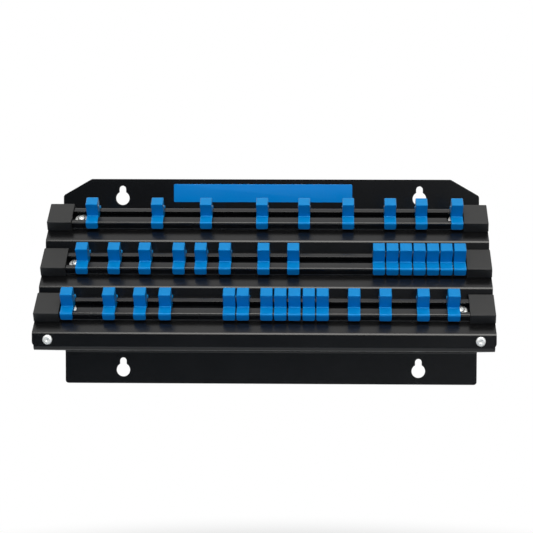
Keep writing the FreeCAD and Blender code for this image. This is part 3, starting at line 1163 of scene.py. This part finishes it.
@dataclass(frozen=True)
class Label:
    """Bare label on the wall plate: a thin film with rounded corners and a soft rim."""

    left: float = -83.0
    right: float = 69.6
    foot: float = 70.7
    top: float = 86.1
    plate: float = 1.6
    thickness: float = 0.4
    corner: float = 1.0
    rim: float = 0.15

    def build(self, film: bpy.types.Material) -> None:
        """Make the label from rounded rectangles that shrink over its rim.

        Args:
            film: Its finish.
        """
        turn = np.linspace(0.0, math.pi / 2, 4)
        depth = np.r_[0.0, self.thickness - self.rim * (1 - np.sin(turn))]
        inset = np.r_[0.0, self.rim * (1 - np.cos(turn))]
        rings = []
        for out, shrink in zip(depth, inset):
            left, right = self.left + shrink, self.right - shrink
            foot, top = self.foot + shrink, self.top - shrink
            loop = rounded_outline([(left, foot), (right, foot), (right, top), (left, top)],
                                   [self.corner - shrink] * 4, steps=6)
            rings.append(np.column_stack([loop[:, 0], np.full(len(loop), -self.plate - out), loop[:, 1]]))
        points, faces = swept(np.array(rings))
        piece = Piece("label_plate")
        piece.add(points, faces)
        piece.finish(film, Slot.LABEL, FIXED_BODY, ("label",), sharp=40.0)


@dataclass(frozen=True)
class Lamp:
    """A soft rectangular lamp: metres, watts and linear colour, and whether glossy surfaces show it."""

    name: str
    place: Triple
    size: Pair
    power: float
    colour: Triple
    mirrored: bool = False

    def hang(self, aim: Triple) -> None:
        """Add the lamp to the scene.

        Args:
            aim: What it points at, in metres.
        """
        light = bpy.data.lights.new(self.name, "AREA")
        light.shape = "RECTANGLE"
        light.size, light.size_y = self.size
        light.energy = self.power
        light.color = self.colour
        lamp = bpy.data.objects.new(self.name, light)
        bpy.context.collection.objects.link(lamp)
        lamp.location = self.place
        lamp.visible_glossy = self.mirrored
        lamp.rotation_euler = (Vector(aim) - Vector(self.place)).to_track_quat("-Z", "Y").to_euler()


@dataclass(frozen=True)
class Studio:
    """Pale floor, soft lamps, white surroundings for the camera, and the camera itself.

    The paper is the floor's tone for the camera and in reflections, and the bounce is its tone for
    the light that it throws back on the object. Only the key lamp shows in glossy surfaces, because
    there a lamp adds to the white surroundings instead of covering them.
    """

    floor_height: float = -0.45
    floor_radius: float = 2.4
    fade_start: float = 0.7
    fade_end: float = 1.1
    paper: str = "f2f2f0"
    bounce: str = "7691c4"
    dim_light: tuple[float, float, float, float] = (0.65, 0.82, 1.0, 1.0)
    dim_strength: float = 0.09
    camera_side: Triple = (-0.29, -0.957, 0.0)
    dim_from: float = 0.7
    dim_to: float = 0.985
    aim: Triple = (0.0, -0.06, 0.0)
    lamps: tuple[Lamp, ...] = (
        Lamp("key", (0.1, -0.93, 0.97), (1.0, 1.0), 15.5, (1.0, 0.98, 0.93), mirrored=True),
        Lamp("ceiling", (0.2, 0.35, 1.35), (2.0, 1.2), 7.0, (1.0, 1.0, 0.98)),
        Lamp("fill", (-0.2, -1.6, 0.3), (1.0, 0.8), 8.0, (0.65, 0.78, 1.0)))
    camera_mm: Triple = (49.28, -1160.3, 67.13)
    yaw: float = 1.257
    pitch: float = 2.536
    roll: float = 0.150
    focal_px: float = 1353.4
    frame_px: float = 533.0
    sensor_mm: float = 36.0
    shift: float = -0.06

    def floor(self) -> None:
        """Make a round pale floor that fades to white away from the object."""
        around = 96
        ring = turned(np.full(around, self.floor_radius), round_angles(around), self.floor_height)
        mesh = bpy.data.meshes.new("floor")
        mesh.from_pydata(ring.tolist(), [], [list(range(around))])
        floor = bpy.data.objects.new("floor", mesh)
        bpy.context.collection.objects.link(floor)
        material, tree, output = new_material("floor_paper_pale")
        place = add_node(tree, "ShaderNodeTexCoord").outputs["Object"]
        flat = add_node(tree, "ShaderNodeVectorMath", {0: place}, operation="MULTIPLY")
        flat.inputs[1].default_value = (1.0, 1.0, 0.0)
        reach = add_node(tree, "ShaderNodeVectorMath", {0: flat.outputs["Vector"]}, operation="LENGTH")
        fade = add_node(tree, "ShaderNodeMapRange", {"Value": reach.outputs["Value"]},
                        interpolation_type="SMOOTHSTEP", From_Min=self.fade_start, From_Max=self.fade_end)
        path = add_node(tree, "ShaderNodeLightPath")
        seen = add_node(tree, "ShaderNodeMath", {0: path.outputs["Is Camera Ray"],
                                                 1: fade.outputs["Result"]}, operation="MULTIPLY")
        paper = add_node(tree, "ShaderNodeBsdfPrincipled", Base_Color=to_linear(self.paper), Roughness=0.8)
        bounce = add_node(tree, "ShaderNodeBsdfPrincipled", Base_Color=to_linear(self.bounce), Roughness=0.8)
        sheet = add_node(tree, "ShaderNodeMixShader", {0: path.outputs["Is Diffuse Ray"],
                                                       1: paper.outputs["BSDF"], 2: bounce.outputs["BSDF"]})
        white = add_node(tree, "ShaderNodeEmission", Color=(1.0, 1.0, 1.0, 1.0), Strength=1.0)
        mixed = add_node(tree, "ShaderNodeMixShader", {0: seen.outputs["Value"], 1: sheet.outputs["Shader"],
                                                       2: white.outputs["Emission"]})
        tree.links.new(mixed.outputs["Shader"], output.inputs["Surface"])
        mesh.materials.append(material)

    def surroundings(self) -> None:
        """Make the world: white for the camera and in reflections, but dim round the camera's own side."""
        world = bpy.data.worlds.new("studio")
        bpy.context.scene.world = world
        world.use_nodes = True
        tree = world.node_tree
        tree.nodes.clear()
        output = add_node(tree, "ShaderNodeOutputWorld")
        direction = add_node(tree, "ShaderNodeTexCoord").outputs["Generated"]
        toward = add_node(tree, "ShaderNodeVectorMath", {0: direction}, operation="DOT_PRODUCT")
        toward.inputs[1].default_value = self.camera_side
        path = add_node(tree, "ShaderNodeLightPath")
        away = add_node(tree, "ShaderNodeMapRange", {"Value": toward.outputs["Value"]},
                        interpolation_type="SMOOTHSTEP", From_Min=self.dim_from, From_Max=self.dim_to,
                        To_Min=1.0, To_Max=0.0)
        rays = {0: path.outputs["Is Glossy Ray"], 1: path.outputs["Is Transmission Ray"]}
        glass = add_node(tree, "ShaderNodeMath", rays, operation="MAXIMUM")
        mirrored = add_node(tree, "ShaderNodeMath", {0: glass.outputs["Value"], 1: away.outputs["Result"]},
                            operation="MULTIPLY")
        seen = add_node(tree, "ShaderNodeMath", {0: path.outputs["Is Camera Ray"],
                                                 1: mirrored.outputs["Value"]}, operation="MAXIMUM")
        dim = add_node(tree, "ShaderNodeBackground", Color=self.dim_light, Strength=self.dim_strength)
        white = add_node(tree, "ShaderNodeBackground", Color=(1.0, 1.0, 1.0, 1.0), Strength=1.0)
        mixed = add_node(tree, "ShaderNodeMixShader", {0: seen.outputs["Value"],
                                                       1: dim.outputs["Background"],
                                                       2: white.outputs["Background"]})
        tree.links.new(mixed.outputs["Shader"], output.inputs["Surface"])

    def camera(self) -> None:
        """Place the camera at the photograph's angle.

        Its yaw, pitch and roll and its place were fitted to the bends of the sheet. The lens is the
        focal length in pixels times the sensor's 36 mm over the picture's 533 pixels.
        """
        yaw, pitch, roll = (math.radians(angle) for angle in (self.yaw, self.pitch, self.roll))
        turn = (Matrix.Rotation(roll, 3, "Z") @ Matrix.Rotation(pitch, 3, "X") @ Matrix.Rotation(yaw, 3, "Y"))
        right, down, ahead = (Vector((row[0], row[2], -row[1])) for row in turn)
        data = bpy.data.cameras.new("camera")
        data.sensor_width = self.sensor_mm
        data.lens = self.focal_px * self.sensor_mm / self.frame_px
        data.shift_x = self.shift
        data.clip_start, data.clip_end = 0.05, 20.0
        camera = bpy.data.objects.new("camera", data)
        bpy.context.collection.objects.link(camera)
        axes = Matrix((right, -down, -ahead)).transposed().to_4x4()
        camera.matrix_world = Matrix.Translation(Vector(self.camera_mm) * MM) @ axes
        bpy.context.scene.camera = camera

    def build(self) -> None:
        """Set up floor, surroundings, lamps, camera and the plain view transform."""
        self.floor()
        self.surroundings()
        for lamp in self.lamps:
            lamp.hang(self.aim)
        self.camera()
        bpy.context.scene.view_settings.view_transform = "Standard"


def main() -> None:
    """Build the holder piece by piece, then the studio."""
    logging.basicConfig(level=logging.INFO, format="%(name)s: %(message)s")
    coat, enamel, cap_plastic = PowderCoat().build(), RailEnamel().build(), MouldedCap().build()
    blue, steel, zinc = MouldedClip().build(), BallSteel().build(), ZincPlate().build()
    Bracket().build(coat)
    Label().build(LabelFilm().build())
    for row in (1, 2, 3):
        SlottedRail(row).build(enamel)
        for side in Side:
            EndCap(row, side).build(cap_plastic)
    for node in sorted(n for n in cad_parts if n.startswith("clip_")):
        Clip(node, int(node.split("_")[1])).build(blue, steel)
    Fasteners().build(zinc)
    Studio().build()


if __name__ == "__main__":
    main()
